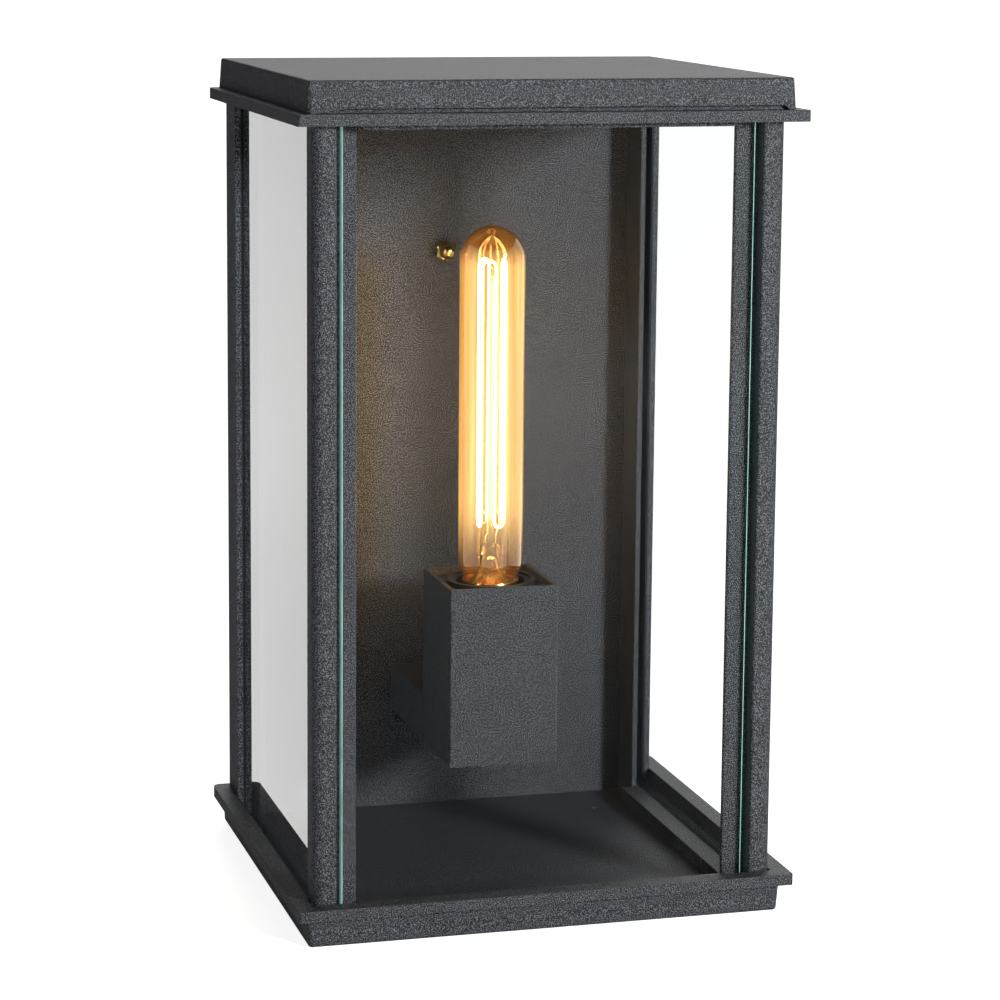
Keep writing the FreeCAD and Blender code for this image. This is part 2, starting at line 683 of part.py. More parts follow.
def lampholder_arm():
    y = (f"{BOX_FRONT} + box_side", PLATE_FRONT)
    x = (f"0 - {BOX_HALF}", BOX_HALF)
    tube = block("ArmTube", x, y, (BOX_BOTTOM, ARM_TOP))
    foot = block("ArmFoot", x, (f"{PLATE_FRONT} - 1.5", PLATE_FRONT),
                 (f"{BOX_BOTTOM} - 9", f"{BOX_BOTTOM} + 1"))
    bore = block("ArmBore", (f"tube_wall - {BOX_HALF}", f"{BOX_HALF} - tube_wall"),
                 (f"{y[0]} - 1", f"{y[1]} + 1"),
                 (f"{BOX_BOTTOM} + tube_wall", f"{ARM_TOP} - tube_wall"))
    holes = [rod(f"ArmFootHole{side}", "1.55", "4", f"{side} * {ARM_SCREW_X}",
                 f"{PLATE_FRONT} - 3", ARM_SCREW_Z, "+Y") for side in (-1, 1)]
    return keep(cut("LampholderArm", fuse("ArmSolid", tube, foot), bore, *holes),
                "lampholder_arm")


def arm_screws():
    made = [screw(f"ArmScrew{side}", "2.6", "1.9", "1.5", "5", f"{side} * {ARM_SCREW_X}",
                  f"{PLATE_FRONT} - 1.5", ARM_SCREW_Z, "+Y") for side in (-1, 1)]
    return keep(group("ArmScrews", *made), "arm_screws")


def holder_plate():
    inner = f"{BOX_HALF} - tube_wall - 0.1"
    plate = block("HolderPlateSheet", (f"0 - ({inner})", inner),
                  (f"{HOLDER_Y} - ({inner})", f"{HOLDER_Y} + {inner}"),
                  (f"{HOLDER_PLATE_TOP} - 2", HOLDER_PLATE_TOP))
    hole = rod("HolderPlateHole", "holder_radius + 0.1", "4", "0", HOLDER_Y,
               f"{HOLDER_PLATE_TOP} - 3")
    return keep(cut("HolderPlate", plate, hole), "holder_plate")


def ring(name, outer, inner, length, z):
    """A round collar on the lampholder's axis."""
    wall = rod(name + "_outer", outer, length, "0", HOLDER_Y, z)
    bore = rod(name + "_bore", inner, f"({length}) + 2", "0", HOLDER_Y, f"{z} - 1")
    return cut(name, wall, bore)


def lampholder_shell():
    wall = rod("ShellOuter", "holder_radius", f"{HOLDER_TOP} - {SHELL_BOTTOM}", "0", HOLDER_Y,
               SHELL_BOTTOM)
    mouth = rod("ShellMouth", "16", "8", "0", HOLDER_Y, SLEEVE_TOP)
    bore = rod("ShellBore", "14.3", f"{SLEEVE_TOP} - {BORE_FLOOR} + 1", "0", HOLDER_Y, BORE_FLOOR)
    well = rod("ShellWell", "3.2", "9", "0", HOLDER_Y, f"{BORE_FLOOR} - 8")
    return keep(cut("LampholderShell", wall, mouth, bore, well), "lampholder_shell")


def lampholder_rings():
    top = ring("HolderRing", "20.3", "holder_radius + 0.05", "2.6", HOLDER_PLATE_TOP)
    keep(top, "lampholder_ring")
    lower = ring("HolderNut", "21.5", "holder_radius + 0.05", "4", f"({HOLDER_PLATE_TOP} - 6)")
    keep(lower, "lampholder_nut")
    sleeve = ring("Sleeve", "14.2", "13.55", f"{SLEEVE_TOP} - {BORE_FLOOR} - 2",
                  f"({BORE_FLOOR} + 2)")
    keep(sleeve, "threaded_sleeve")


def centre_contact():
    head = rod("ContactHead", "4", "1", "0", HOLDER_Y, f"{LAMP_TIP} - 1.3")
    stem = rod("ContactStem", "1.5", "8", "0", HOLDER_Y, f"{LAMP_TIP} - 8.9")
    keep(fuse("CentreContact", head, stem), "centre_contact")
    coil_length = f"{LAMP_TIP} - 1.6 - ({BORE_FLOOR} - 7.7)"
    coil = ring("ContactCoil", "2.7", "1.9", coil_length, f"({BORE_FLOOR} - 7.7)")
    keep(coil, "contact_spring")


def holder_terminals():
    made = [block(f"Terminal{side}", (f"{side} * 10 - 3", f"{side} * 10 + 3"),
                  (f"{HOLDER_Y} - 3.5", f"{HOLDER_Y} + 3.5"), (f"{SHELL_BOTTOM} - 7", SHELL_BOTTOM))
            for side in (-1, 1)]
    return keep(group("HolderTerminals", *made), "holder_terminals")


# ---------------------------------------------------------------- lamp

NECK = f"({LAMP_TIP} + 25)"


def revolved(name, points):
    """A closed outline of radius and height, turned about the lamp's axis."""
    owner = body(name)
    sketch = outline(owner, name + "_outline", "XZ_Plane", points, f"0 - {HOLDER_Y}")
    turn = owner.newObject("PartDesign::Revolution", name + "_turn")
    turn.Profile = sketch
    turn.ReferenceAxis = (sketch, ["V_Axis"])
    turn.Angle = 360
    doc.recompute()
    return owner


def lamp_glass():
    """A long tube with a domed top and a tucked-in neck, 1 mm thick."""
    tube = [("11.4", f"{NECK} - 3"), ("12.2", f"{NECK} - 3"), ("12.4", NECK),
            ("lamp_radius - 0.5", f"{NECK} + 3"), ("lamp_radius", f"{NECK} + 7"),
            ("lamp_radius", f"{LAMP_TOP} - lamp_radius"),
            ("lamp_radius - 1", f"{LAMP_TOP} - lamp_radius"), ("lamp_radius - 1", f"{NECK} + 7"),
            ("lamp_radius - 1.5", f"{NECK} + 3.4"), ("11.4", f"{NECK} + 0.4")]
    wall = revolved("GlassTube", tube)
    dome_z = f"{LAMP_TOP} - lamp_radius"
    outer = ball("DomeOuter", "lamp_radius", "0", HOLDER_Y, dome_z)
    inner = ball("DomeInner", "lamp_radius - 1", "0", HOLDER_Y, dome_z)
    above = block("DomeAbove", ("0 - 20", "20"), (f"{HOLDER_Y} - 20", f"{HOLDER_Y} + 20"),
                  (dome_z, f"{LAMP_TOP} + 5"))
    dome = common("Dome", cut("DomeShell", outer, inner), above)
    return keep(fuse("LampGlass", wall, dome), "lamp_glass")


def lamp_cap():
    """The screw cap: rounded rolls stand for the thread."""
    foot, top = f"{LAMP_TIP} + 4.6", f"{NECK} - 3.2"
    points = [("9", foot), ("12.2", foot)]
    for turn in range(4):
        level = f"{foot} + 2 + {turn} * 3.6"
        points += [("12.2", level), ("lamp_cap_radius", f"{level} + 1.1"),
                   ("lamp_cap_radius", f"{level} + 1.7"), ("12.2", f"{level} + 2.8")]
    points += [("12.2", f"{top} - 0.6"), ("13.1", f"{top} - 0.6"), ("13.1", f"{NECK} - 1"),
               ("12.5", f"{NECK} - 1"), ("12.5", top), ("9", top)]
    return keep(revolved("LampCap", points), "lamp_cap")


def lamp_foot():
    points = [("3.2", f"{LAMP_TIP} + 1.2"), ("4.8", f"{LAMP_TIP} + 1.2"),
              ("9.6", f"{LAMP_TIP} + 4.6"), ("3.2", f"{LAMP_TIP} + 4.6")]
    keep(revolved("LampInsulator", points), "lamp_insulator")
    tip = rod("TipDisc", "3.1", "3.6", "0", HOLDER_Y, LAMP_TIP)
    keep(tip, "lamp_tip")


STRANDS = 6
STRAND_CIRCLE = 6.2
FILAMENT_TOP = f"({LAMP_TOP} - 17)"
FILAMENT_BOTTOM = f"({LAMP_TIP} + 50)"
STEM_TOP = f"({LAMP_TIP} + 41)"


def lamp_stem():
    """Flared glass foot, pinch and the centre rod that carries the supports."""
    points = [("0", f"{NECK} - 2.6"), ("11.2", f"{NECK} - 2.6"), ("8.5", f"{NECK} + 1"),
              ("4.2", f"{NECK} + 6"), ("3.4", f"{STEM_TOP} - 4"), ("1.6", STEM_TOP),
              ("1.1", f"{STEM_TOP} + 2"), ("1.1", f"{FILAMENT_TOP} - 6"),
              ("0", f"{FILAMENT_TOP} - 6")]
    return keep(revolved("LampStem", points), "lamp_stem")


def strand_places():
    turns = [Rotation(Vector(0, 0, 1), 360 / STRANDS * i + 90) for i in range(STRANDS)]
    return [turn.multVec(Vector(STRAND_CIRCLE, 0, 0)) for turn in turns]


def filament():
    """One long thread looped up and down between the top and bottom hooks."""
    centre = Vector(0, measure(HOLDER_Y), 0)
    low, high = measure(FILAMENT_BOTTOM), measure(FILAMENT_TOP)
    places = [centre + spot for spot in strand_places()]
    edges = []
    for i, spot in enumerate(places):
        foot, head = spot + Vector(0, 0, low), spot + Vector(0, 0, high)
        edges.append(Part.LineSegment(foot, head).toShape())
        if i + 1 == len(places):
            break
        level = high if i % 2 == 0 else low
        bulge = Vector(0, 0, 2.6 if i % 2 == 0 else -2.6)
        start = spot + Vector(0, 0, level)
        end = places[i + 1] + Vector(0, 0, level)
        edges.append(Part.Arc(start, (start + end) * 0.5 + bulge, end).toShape())
    solids = []
    for edge in edges:
        direction = edge.tangentAt(edge.FirstParameter)
        start = edge.valueAt(edge.FirstParameter)
        section = Part.Wire([Part.Circle(start, direction, 0.35).toShape()])
        solids.append(Part.Wire([edge]).makePipeShell([section], True, False))
    made = doc.addObject("Part::Feature", "Filament")
    made.Shape = solids[0].fuse(solids[1:]).removeSplitter()
    made.Placement = FreeCAD.Placement()
    return keep(made, "lamp_filament")


# ---------------------------------------------------------------- wall fixing and wiring

def wall_bracket():
    half = "bracket_width / 2"
    strap = block("BracketStrap", (f"0 - {half}", half), ("0 - bracket_sheet", "0"),
                  ("0 - bracket_length / 2", "bracket_length / 2"))
    tools = [rod(f"BracketWallHole{side}", "wall_hole_radius", "6", "0", "0 - 4",
                 f"{side} * wall_hole_spacing / 2", "+Y") for side in (-1, 1)]
    tools.append(rod("BracketCableHole", "cable_hole_radius", "6", "0", "0 - 4", "0", "+Y"))
    tools += [rod(f"BracketStudHole{i}", "stud_radius", "6", "0", "0 - 4", z, "+Y")
              for i, z in enumerate(STUD_HEIGHTS)]
    return keep(cut("WallBracket", strap, *tools), "wall_bracket")


ACORN_BORE = 7.0


def studs_and_nuts():
    """Studs from the bracket, spacers behind the plate, acorn nuts in front."""
    studs, nuts, washers, spacers = [], [], [], []
    for i, z in enumerate(STUD_HEIGHTS):
        washer_front = f"({PLATE_FRONT} - 0.8)"
        studs.append(rod(f"Stud{i}", "stud_radius", f"0 - ({washer_front} - {ACORN_BORE})", "0",
                         f"{washer_front} - {ACORN_BORE}", z, "+Y"))
        disc = rod(f"WasherDisc{i}", "4.5", "0.8", "0", washer_front, z, "+Y")
        hole = rod(f"WasherHole{i}", "2.2", "3", "0", f"{washer_front} - 1", z, "+Y")
        washers.append(cut(f"Washer{i}", disc, hole))
        hexagon = nut_prism(f"NutHex{i}", "9", "4.4", "0", washer_front, z, "-Y")
        neck = rod(f"NutNeck{i}", "3.7", "1.4", "0", f"{washer_front} - 4.4", z, "-Y")
        dome = ball(f"NutDome{i}", "4.1", "0", f"{washer_front} - 6.9", z)
        bore = rod(f"NutBore{i}", "stud_radius + 0.05", f"{ACORN_BORE} + 1.2", "0",
                   f"{washer_front} + 1", z, "-Y")
        nuts.append(cut(f"Nut{i}", fuse(f"NutSolid{i}", hexagon, neck, dome), bore))
        tube = rod(f"SpacerTube{i}", "4", f"0 - bracket_sheet - {PLATE_BACK}", "0",
                   PLATE_BACK, z, "+Y")
        gap = rod(f"SpacerBore{i}", "2.1", "12", "0", f"{PLATE_BACK} - 1", z, "+Y")
        spacers.append(cut(f"Spacer{i}", tube, gap))
    keep(group("Studs", *studs), "bracket_studs")
    keep(group("Nuts", *nuts), "acorn_nuts")
    keep(group("Washers", *washers), "nut_washers")
    keep(group("Spacers", *spacers), "stud_spacers")


def cable_grommet():
    middle = rod("GrommetWaist", "4.9", "3.6", "0", f"{PLATE_FRONT} - 0.8", LEAD_HEIGHT, "+Y")
    front = rod("GrommetFront", "6.5", "0.8", "0", f"{PLATE_FRONT} - 0.8", LEAD_HEIGHT, "+Y")
    back = rod("GrommetBack", "6.5", "0.8", "0", PLATE_BACK, LEAD_HEIGHT, "+Y")
    bore = rod("GrommetBore", "3.9", "8", "0", f"{PLATE_FRONT} - 3", LEAD_HEIGHT, "+Y")
    return keep(cut("Grommet", fuse("GrommetSolid", middle, front, back), bore), "cable_grommet")


TERMINAL_TOP = f"({LEAD_HEIGHT} - 16)"
EARTH_Z = f"({LEAD_HEIGHT} + 16)"


def terminal_block():
    """Three-way block fixed behind the back plate."""
    case = block("BlockCase", ("0 - 16", "16"), (PLATE_BACK, f"{PLATE_BACK} + 7.6"),
                 (f"{TERMINAL_TOP} - 15", TERMINAL_TOP))
    tools = [rod(f"BlockScrewHole{i}", "2", "4", f"{i} * 9", f"{PLATE_BACK} + 5",
                 f"{TERMINAL_TOP} - 7.5", "+Y") for i in (-1, 0, 1)]
    tools += [rod(f"BlockLeadHole{i}", "1.4", "5", f"{i} * 9", f"{PLATE_BACK} + 3.4",
                  f"{TERMINAL_TOP} - 4") for i in (-1, 0, 1)]
    keep(cut("TerminalBlock", case, *tools), "terminal_block")


def supply_lead(side, slot, label):
    """From a holder terminal, along the arm and through the grommet to the block."""
    lead_z, block_z = measure(LEAD_HEIGHT), measure(f"{TERMINAL_TOP} - 4")
    middle = measure(f"{PLATE_BACK} + 3.4")
    points = [Vector(side * 10, measure(HOLDER_Y), measure(f"{SHELL_BOTTOM} - 7")),
              Vector(side * 10, measure(HOLDER_Y), lead_z),
              Vector(side * 1.9, measure(PLATE_FRONT) - 8, lead_z),
              Vector(side * 1.9, middle, lead_z),
              Vector(slot, middle, lead_z - 10),
              Vector(slot, middle, block_z)]
    return keep(lead(label, points, 1.0), label)


def earth_parts():
    keep(screw("EarthScrew", "3", "2", "1.45", "3.4", "12", f"{PLATE_FRONT}", EARTH_Z, "+Y"),
         "earth_screw")
    middle = measure(f"{PLATE_BACK} + 3.4")
    top = measure(f"{TERMINAL_TOP} - 4")
    stop = measure(EARTH_Z)
    points = [Vector(9, middle, top), Vector(9, middle, top + 9), Vector(12, middle, stop - 13),
              Vector(12, middle, stop - 4.1)]
    keep(lead("EarthLead", points, 1.0), "earth_lead")
    disc = rod("EyeDisc", "4", "5", "12", PLATE_BACK, EARTH_Z, "+Y")
    hole = rod("EyeHole", "1.6", "8", "12", f"{PLATE_BACK} - 1", EARTH_Z, "+Y")
    keep(cut("EarthEye", disc, hole), "earth_eyelet")


# ---------------------------------------------------------------- build

base_tray()
roof_tray()
roof_cap()
roof_nuts()
post_screws()
for side, hand in ((-1, "left"), (1, "right")):
    front_post(side, f"front_post_{hand}")
    back_post(side, f"back_post_{hand}")
    side_glass(side, f"{hand}_glass")
    glass_seals(side, f"{hand}_glass_seals")
    lower_rail(side, f"lower_rail_{hand}")
    upper_rail(side, f"upper_rail_{hand}")
back_plate()
plate_screws()
front_glass()
front_sill()
front_head()
lampholder_box()
lampholder_arm()
arm_screws()
holder_plate()
lampholder_shell()
lampholder_rings()
centre_contact()
holder_terminals()
lamp_glass()
lamp_cap()
lamp_foot()
lamp_stem()
filament()
wall_bracket()
studs_and_nuts()
cable_grommet()
terminal_block()
supply_lead(-1, -9, "live_lead")
supply_lead(1, 0, "neutral_lead")
earth_parts()
doc.recompute()

for item in doc.Objects:
    bad = [state for state in item.State if state in ("Invalid", "Error")]
    assert not bad, f"{item.Name} failed: {bad}"

os.makedirs("parts", exist_ok=True)
for node in nodes:
    assert not node.Shape.isNull() and node.Shape.isValid(), node.Label + " has no valid shape"
    assert node.Shape.Volume > 0, node.Label + " has no volume"
for node in nodes:
    node.Shape.exportStep(f"parts/{node.Label}.step")
print(len(nodes), "nodes written")
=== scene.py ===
import json
import math

import bmesh
import bpy
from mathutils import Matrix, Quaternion, Vector


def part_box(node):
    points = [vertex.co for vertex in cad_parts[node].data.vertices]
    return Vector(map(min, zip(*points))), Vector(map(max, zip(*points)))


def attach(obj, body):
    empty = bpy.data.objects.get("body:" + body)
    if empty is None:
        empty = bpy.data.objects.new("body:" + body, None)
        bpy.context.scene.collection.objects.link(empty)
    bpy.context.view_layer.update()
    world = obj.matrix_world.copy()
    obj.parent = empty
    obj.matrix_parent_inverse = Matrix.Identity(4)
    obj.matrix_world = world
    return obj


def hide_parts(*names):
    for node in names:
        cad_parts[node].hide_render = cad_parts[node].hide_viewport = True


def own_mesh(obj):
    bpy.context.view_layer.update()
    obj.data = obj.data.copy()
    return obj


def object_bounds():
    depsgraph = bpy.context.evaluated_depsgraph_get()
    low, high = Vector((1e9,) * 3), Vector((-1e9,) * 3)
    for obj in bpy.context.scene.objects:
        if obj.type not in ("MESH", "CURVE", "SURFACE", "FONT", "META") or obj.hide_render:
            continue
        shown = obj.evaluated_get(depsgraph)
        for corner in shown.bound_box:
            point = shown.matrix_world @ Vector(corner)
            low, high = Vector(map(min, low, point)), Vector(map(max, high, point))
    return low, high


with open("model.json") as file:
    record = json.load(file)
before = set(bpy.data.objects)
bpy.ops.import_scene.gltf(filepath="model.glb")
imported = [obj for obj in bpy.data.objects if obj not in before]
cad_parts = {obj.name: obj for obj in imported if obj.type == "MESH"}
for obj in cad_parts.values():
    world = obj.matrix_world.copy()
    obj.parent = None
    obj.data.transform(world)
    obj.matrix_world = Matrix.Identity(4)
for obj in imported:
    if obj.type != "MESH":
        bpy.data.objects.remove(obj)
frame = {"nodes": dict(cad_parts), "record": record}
cad_low, cad_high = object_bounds()

# Metres, in the row frame: +Z up, -Y the lantern's front, the wall plane at y = 0.
MM = 0.001
UP = Vector((0, 0, 1))


# ---------------------------------------------------------------- material helpers

def blank(name, **sockets):
    """A new Principled material, with plain values on the shader's own sockets."""
    made = bpy.data.materials.new(name)
    made.use_nodes = True
    shader = made.node_tree.nodes["Principled BSDF"]
    for socket, value in sockets.items():
        shader.inputs[socket.replace("_", " ")].default_value = value
    return made, made.node_tree, shader


def add(tree, kind, inputs=(), **settings):
    """One node: inputs are plain values or other nodes' outputs."""
    made = tree.nodes.new(kind)
    for key, value in settings.items():
        setattr(made, key, value)
    for key, value in dict(inputs).items():
        if isinstance(value, bpy.types.NodeSocket):
            tree.links.new(value, made.inputs[key])
        else:
            made.inputs[key].default_value = value
    return made


def where(tree):
    """Where a point lies in the row frame, in metres."""
    return add(tree, "ShaderNodeTexCoord").outputs["Object"]


def noise(tree, place, scale, detail=2.0, roughness=0.5, stretch=None):
    if stretch:
        place = add(tree, "ShaderNodeMapping", {"Vector": place, "Scale": stretch}).outputs[0]
    made = add(tree, "ShaderNodeTexNoise",
               {"Vector": place, "Scale": scale, "Detail": detail, "Roughness": roughness})
    return made.outputs["Fac"]


def ramp(tree, factor, *stops):
    """Colours or grey levels along a factor, as (place, colour) stops."""
    made = add(tree, "ShaderNodeValToRGB", {"Fac": factor})
    marks = made.color_ramp.elements
    while len(marks) < len(stops):
        marks.new(1.0)
    for mark, (place, colour) in zip(marks, stops):
        mark.position = place
        mark.color = (colour, colour, colour, 1) if isinstance(colour, float) else (*colour, 1)
    return made.outputs["Color"]


def level(tree, factor, low, high):
    """A factor from 0 to 1 stretched over another span."""
    made = add(tree, "ShaderNodeMapRange", {"Value": factor, "To Min": low, "To Max": high})
    return made.outputs["Result"]


def blend_colours(tree, factor, first, second, how="MIX"):
    made = add(tree, "ShaderNodeMix", data_type="RGBA", blend_type=how)
    for socket, value in ((0, factor), (6, first), (7, second)):
        if isinstance(value, bpy.types.NodeSocket):
            tree.links.new(value, made.inputs[socket])
        elif socket == 0:
            made.inputs[0].default_value = value
        else:
            made.inputs[socket].default_value = (*value, 1)
    return made.outputs[2]


def bump(tree, shader, height, distance, strength=1.0, edge=None):
    """Relief in metres, over edges softened by a small radius where one is given."""
    inputs = {"Height": height, "Distance": distance, "Strength": strength}
    if edge:
        soft = add(tree, "ShaderNodeBevel", {"Radius": edge}, samples=4)
        inputs["Normal"] = soft.outputs["Normal"]
    made = add(tree, "ShaderNodeBump", inputs)
    tree.links.new(made.outputs["Normal"], shader.inputs["Normal"])


def feed(tree, shader, **sockets):
    for socket, source in sockets.items():
        tree.links.new(source, shader.inputs[socket.replace("_", " ")])


def open_to_lamps(tree, shader, tint):
    """Rays from lamps pass the glass, tinted, so that it throws no black shadow."""
    path = add(tree, "ShaderNodeLightPath")
    clear = add(tree, "ShaderNodeBsdfTransparent", {"Color": (*tint, 1)})
    mixed = add(tree, "ShaderNodeMixShader", {0: path.outputs["Is Shadow Ray"],
                                              1: shader.outputs["BSDF"], 2: clear.outputs[0]})
    tree.links.new(mixed.outputs[0], tree.nodes["Material Output"].inputs["Surface"])


# ---------------------------------------------------------------- materials

def powder_coat():
    """Fine-textured anthracite powder: dark, with crumbs under a millimetre that catch the light."""
    made, tree, shader = blank("powder_coat", Specular_IOR_Level=0.30)
    place = where(tree)
    crumbs = noise(tree, place, 2100, 1.5, 0.6)
    drifts = noise(tree, place, 42, 3.0, 0.55)
    specks = ramp(tree, crumbs, (0.42, (0.003, 0.0032, 0.0040)), (0.52, (0.016, 0.0166, 0.0192)),
                  (0.62, (0.155, 0.160, 0.178)))
    cloud = ramp(tree, drifts, (0.3, 0.85), (0.7, 1.0))
    colour = blend_colours(tree, 1.0, specks, cloud, "MULTIPLY")
    swell = noise(tree, place, 620, 1.0)
    height = add(tree, "ShaderNodeMath", {0: crumbs, 1: level(tree, swell, 0.0, 0.5)},
                 operation="ADD").outputs[0]
    bump(tree, shader, height, 0.00035, 0.9, edge=0.00045)
    feed(tree, shader, Base_Color=colour, Roughness=level(tree, crumbs, 0.36, 0.72))
    return made


def plated_steel(name, colour, brushed=900.0, shine=0.3):
    """Plated steel with fine turning marks and a few duller patches."""
    made, tree, shader = blank(name, Metallic=1.0)
    place = where(tree)
    lines = noise(tree, place, brushed, 2.0, 0.6)
    dull = noise(tree, place, 130, 3.0)
    darker = tuple(part * 0.72 for part in colour)
    feed(tree, shader, Base_Color=blend_colours(tree, dull, darker, colour),
         Roughness=level(tree, dull, shine * 0.7, shine * 1.5))
    bump(tree, shader, lines, 0.00004, 0.5, edge=0.0002)
    return made


def polished_brass():
    made, tree, shader = blank("polished_brass", Metallic=1.0)
    place = where(tree)
    tarnish = noise(tree, place, 260, 3.0, 0.6)
    colour = ramp(tree, tarnish, (0.3, (0.55, 0.33, 0.09)), (0.62, (0.88, 0.62, 0.22)))
    feed(tree, shader, Base_Color=colour, Roughness=level(tree, tarnish, 0.12, 0.26))
    bump(tree, shader, noise(tree, place, 1500, 1.0), 0.00003, 0.4, edge=0.00025)
    return made


def moulded(name, colour, pale, shine=0.45, grain=1400.0):
    """Moulded plastic: faint spark grain and a slightly uneven shine."""
    made, tree, shader = blank(name, Specular_IOR_Level=0.5)
    place = where(tree)
    flow = noise(tree, place, 90, 2.0)
    spark = noise(tree, place, grain, 1.0)
    feed(tree, shader, Base_Color=blend_colours(tree, flow, colour, pale),
         Roughness=level(tree, flow, shine * 0.85, shine * 1.2))
    bump(tree, shader, spark, 0.00005, 0.4, edge=0.0003)
    return made


def rubber():
    made, tree, shader = blank("seal_rubber", Specular_IOR_Level=0.3)
    place = where(tree)
    bloom = noise(tree, place, 160, 3.0)
    feed(tree, shader, Base_Color=blend_colours(tree, bloom, (0.008, 0.008, 0.009), (0.02, 0.02, 0.021)),
         Roughness=level(tree, bloom, 0.55, 0.8))
    bump(tree, shader, noise(tree, place, 700, 2.0), 0.00006, 0.5)
    return made


def float_glass(name, mirror):
    """Clear float glass, too thin to bend what is behind it.

    Only the faces turned to the eye mirror. mirror multiplies one bare face's gloss, so 2 stands for
    both faces of a sheet."""
    made = bpy.data.materials.new(name)
    made.use_nodes = True
    tree = made.node_tree
    tree.nodes.remove(tree.nodes["Principled BSDF"])
    place = where(tree)
    tint = ramp(tree, noise(tree, place, 9, 1.0), (0.0, (0.982, 0.987, 0.985)),
                (1.0, (0.987, 0.991, 0.989)))
    clear = add(tree, "ShaderNodeBsdfTransparent", {"Color": tint})
    gloss = add(tree, "ShaderNodeBsdfGlossy", {"Roughness": 0.0})
    fresnel = add(tree, "ShaderNodeFresnel", {"IOR": 1.45})
    front = add(tree, "ShaderNodeMath", {0: 1.0, 1: add(tree, "ShaderNodeNewGeometry").outputs["Backfacing"]},
                operation="SUBTRACT")
    facing = add(tree, "ShaderNodeMath", {0: front.outputs[0], 1: mirror}, operation="MULTIPLY")
    share = add(tree, "ShaderNodeMath", {0: fresnel.outputs[0], 1: facing.outputs[0]}, operation="MULTIPLY")
    mixed = add(tree, "ShaderNodeMixShader", {0: share.outputs[0], 1: clear.outputs[0], 2: gloss.outputs[0]})
    tree.links.new(mixed.outputs[0], tree.nodes["Material Output"].inputs["Surface"])
    return made


def glass_edge():
    """The ground edge of a pane: green from outside, with a painted glow standing in for light the sheet
    carries to its edge; clear when seen through the sheet.
    """
    # Emission_Strength paints a glow on the edge, which is no lamp
    made, tree, shader = blank("glass_edge", Transmission_Weight=0.35, IOR=1.5, Roughness=0.28,
                               Emission_Strength=0.24)
    place = where(tree)
    grind = noise(tree, place, 420, 2.0, 0.6, stretch=(1, 1, 0.15))
    green_and_painted_glow = ramp(tree, grind, (0.3, (0.22, 0.50, 0.45)), (0.7, (0.52, 0.86, 0.80)))
    # the edge's green is its own colour and also its painted glow
    feed(tree, shader, Base_Color=green_and_painted_glow, Emission_Color=green_and_painted_glow)
    bump(tree, shader, grind, 0.00006, 0.5)
    inside = add(tree, "ShaderNodeNewGeometry").outputs["Backfacing"]
    clear = add(tree, "ShaderNodeBsdfTransparent", {"Color": (0.90, 0.95, 0.94, 1)})
    mixed = add(tree, "ShaderNodeMixShader", {0: inside, 1: shader.outputs["BSDF"], 2: clear.outputs[0]})
    tree.links.new(mixed.outputs[0], tree.nodes["Material Output"].inputs["Surface"])
    return made


def amber_glass(glow_low, glow_high):
    """Amber-coated glass with a painted glow of the thread's light between two heights: paler in the middle,
    gold at its rim.
    """
    # Emission_Strength sets how bright the painted glow in the glass is; the glass itself is no lamp
    made, tree, shader = blank("amber_glass", Transmission_Weight=1.0, IOR=1.5, Roughness=0.0,
                               Specular_IOR_Level=1.0, Emission_Strength=0.33)
    place = where(tree)
    streaks = noise(tree, place, 300, 2.0, 0.5, stretch=(1, 1, 0.02))
    tint = ramp(tree, streaks, (0.3, (0.86, 0.52, 0.20)), (0.7, (0.97, 0.72, 0.36)))
    height = add(tree, "ShaderNodeSeparateXYZ", {0: place}).outputs["Z"]
    fade = 0.016
    rise = add(tree, "ShaderNodeMapRange", {"Value": height, "From Min": glow_low - fade,
                                            "From Max": glow_low + fade},
               interpolation_type="SMOOTHSTEP")
    fall = add(tree, "ShaderNodeMapRange", {"Value": height, "From Min": glow_high + fade * 0.4,
                                            "From Max": glow_high - fade * 0.4},
               interpolation_type="SMOOTHSTEP")
    painted_glow_band = add(tree, "ShaderNodeMath", {0: rise.outputs[0], 1: fall.outputs[0]},
              operation="MULTIPLY").outputs[0]
    # gold and pale are colours of the painted glow: paler where the glass faces the eye, gold at its rim
    gold = ramp(tree, streaks, (0.38, (0.42, 0.17, 0.025)), (0.62, (1.0, 0.62, 0.20)))
    pale = ramp(tree, streaks, (0.38, (0.62, 0.42, 0.14)), (0.62, (1.0, 0.84, 0.42)))
    rim = add(tree, "ShaderNodeLayerWeight", {"Blend": 0.5}).outputs["Facing"]
    painted_rim_glow = blend_colours(tree, ramp(tree, rim, (0.04, 0.0), (0.5, 1.0)), pale, gold)
    # painted glow: the thread's light painted into the glass between the thread's heights, faint elsewhere
    glow = blend_colours(tree, painted_glow_band, (0.07, 0.030, 0.007), painted_rim_glow)
    feed(tree, shader, Base_Color=tint, Emission_Color=glow)
    bump(tree, shader, streaks, 0.00010, 0.25)
    open_to_lamps(tree, shader, (0.97, 0.88, 0.74))
    return made


def stem_glass():
    made, tree, shader = blank("stem_glass", Transmission_Weight=1.0, IOR=1.5, Roughness=0.04)
    place = where(tree)
    seeds = noise(tree, place, 300, 2.0)
    feed(tree, shader, Base_Color=ramp(tree, seeds, (0.3, (0.88, 0.83, 0.74)), (0.7, (0.97, 0.95, 0.90))))
    bump(tree, shader, seeds, 0.0002, 0.4)
    open_to_lamps(tree, shader, (0.9, 0.85, 0.75))
    return made


